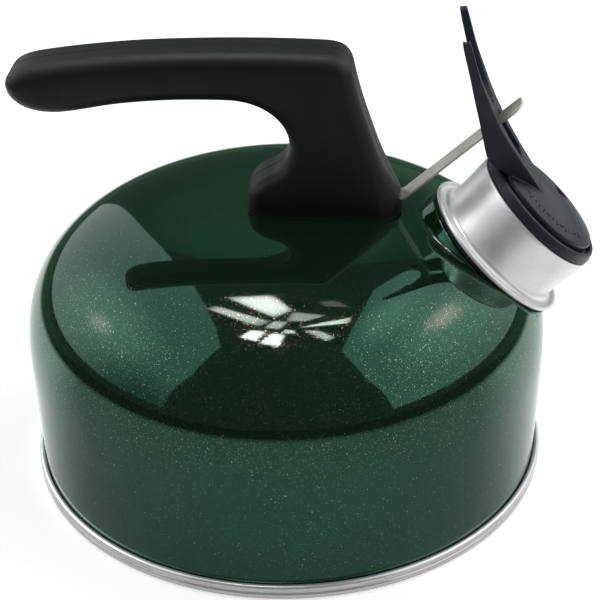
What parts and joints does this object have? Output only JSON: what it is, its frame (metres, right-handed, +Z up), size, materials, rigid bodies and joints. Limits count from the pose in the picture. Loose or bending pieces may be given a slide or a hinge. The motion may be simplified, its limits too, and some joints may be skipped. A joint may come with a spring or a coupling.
{
  "type": "stovetop whistling kettle",
  "caption": "Drum-shaped enamelled kettle with a domed top, side-leaning wide spout, cantilevered black handle and a tip-up whistle cap worked by a forked lever.",
  "frame": {"origin": "centre of the base's underside, on the drum's axis", "axes": "+X from the handle towards the spout, +Z up along the drum's axis, +Y to the left of someone holding the grip and facing the spout"},
  "size_m": [0.2038, 0.19, 0.1669],
  "materials": {
    "green_enamel": "glossy vitreous enamel, dark green with fine pale flecks",
    "polished_aluminium": "bright polished",
    "satin_aluminium": "satin, spun",
    "strip_steel": "rolled spring steel",
    "fastener_steel": "plated",
    "handle_plastic": "fine-textured black phenolic",
    "whistle_plastic": "satin blue-black",
    "black_rubber": "matt"
  },
  "bodies": {
    "kettle": {"kettle_body": "green_enamel", "base_pan": "polished_aluminium", "foot_gasket": "black_rubber", "handle_saddle": "fastener_steel", "saddle_rivet_left": "fastener_steel", "saddle_rivet_right": "fastener_steel", "saddle_rivet_front": "fastener_steel", "handle_shell_left": "handle_plastic", "handle_shell_right": "handle_plastic", "handle_screw_foot_rear": "fastener_steel", "handle_screw_foot_front": "fastener_steel", "handle_screw_stem": "fastener_steel", "handle_screw_middle": "fastener_steel", "handle_screw_end": "fastener_steel", "whistle_strip": "strip_steel", "strip_washer": "fastener_steel", "strip_nut": "fastener_steel", "spout_neck": "satin_aluminium", "spout_seal": "black_rubber", "spout_lock_ring": "fastener_steel"},
    "whistle": {"whistle_ring": "whistle_plastic", "whistle_lever": "whistle_plastic", "plug_skirt": "fastener_steel", "whistle_upper_plate": "satin_aluminium", "whistle_spacer": "satin_aluminium", "whistle_lower_plate": "satin_aluminium", "cap_screw_1": "fastener_steel", "cap_screw_2": "fastener_steel", "cap_screw_3": "fastener_steel"}
  },
  "joints": [
    {"name": "whistle_hinge", "type": "hinge", "parent": "kettle", "child": "whistle", "pos_m": [0.0735, 0, 0.1322], "axis": [0, -1, 0], "range_deg": [0, 60]}
  ]
}
